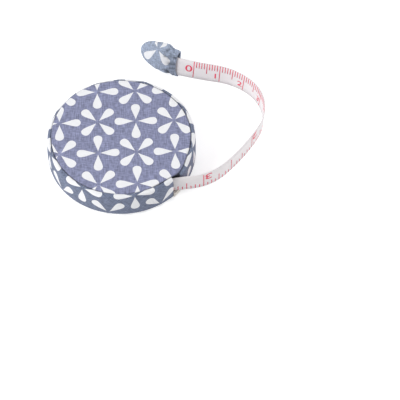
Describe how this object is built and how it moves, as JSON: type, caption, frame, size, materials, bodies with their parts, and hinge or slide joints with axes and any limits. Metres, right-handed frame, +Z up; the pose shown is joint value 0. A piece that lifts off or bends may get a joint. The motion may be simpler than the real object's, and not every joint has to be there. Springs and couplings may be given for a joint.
{
  "type": "cloth tape measure",
  "caption": "Round cloth-covered spring tape measure, its printed tape drawn out of a side slot in a loop and ending in a padded cloth tab; pressing the top frees the reel's brake.",
  "frame": {"origin": "centre of the case's underside, where it stands on a table", "axes": "+Z up along the reel's axis, +X the way the tape leaves its slot"},
  "size_m": [0.0819, 0.0702, 0.0129],
  "materials": {
    "cloth": "blue-grey cotton with a white four-petal flower print",
    "case_plastic": "cream moulded plastic",
    "reel_plastic": "off-white moulded plastic",
    "steel": "plain steel",
    "card": "grey-brown board",
    "wadding": "white fibre wadding",
    "tape": "white coated tape with red print",
    "rubber": "black rubber"
  },
  "bodies": {
    "case": {"bottom_shell": "case_plastic", "top_shell": "case_plastic", "case_screw_1": "steel", "case_screw_2": "steel", "case_screw_3": "steel", "side_cloth": "cloth", "bottom_cloth": "cloth", "bottom_card": "card", "top_pad": "wadding", "top_cloth": "cloth", "mainspring": "steel", "return_spring": "steel"},
    "reel": {"reel_drum": "reel_plastic", "barrel_cover": "reel_plastic", "tape_key": "case_plastic", "wound_tape": "tape"},
    "button": {"release_button": "reel_plastic", "brake_disc": "steel", "brake_lining": "rubber", "button_screw": "steel"},
    "tape": {"drawn_tape": "tape", "end_clip": "steel", "tab_cloth": "cloth", "tab_wadding": "wadding"}
  },
  "joints": [
    {"name": "reel_spin", "type": "hinge", "parent": "case", "child": "reel", "pos_m": [0, 0, 0.00645], "axis": [0, 0, 1], "range_deg": [-20, 4600], "deforming": ["mainspring"]},
    {"name": "tape_pull", "type": "slide", "parent": "case", "child": "tape", "axis": [1, 0, 0], "range_m": [-0.006, 1.378]},
    {"name": "button_press", "type": "slide", "parent": "case", "child": "button", "axis": [0, 0, -1], "range_m": [0, 0.0008], "stiffness_N_per_m": 500, "springref_m": -0.004, "deforming": ["return_spring"]}
  ],
  "couplings": [
    {"joint": "tape_pull", "follows": "reel_spin", "m_per_rad": 0.01716}
  ]
}
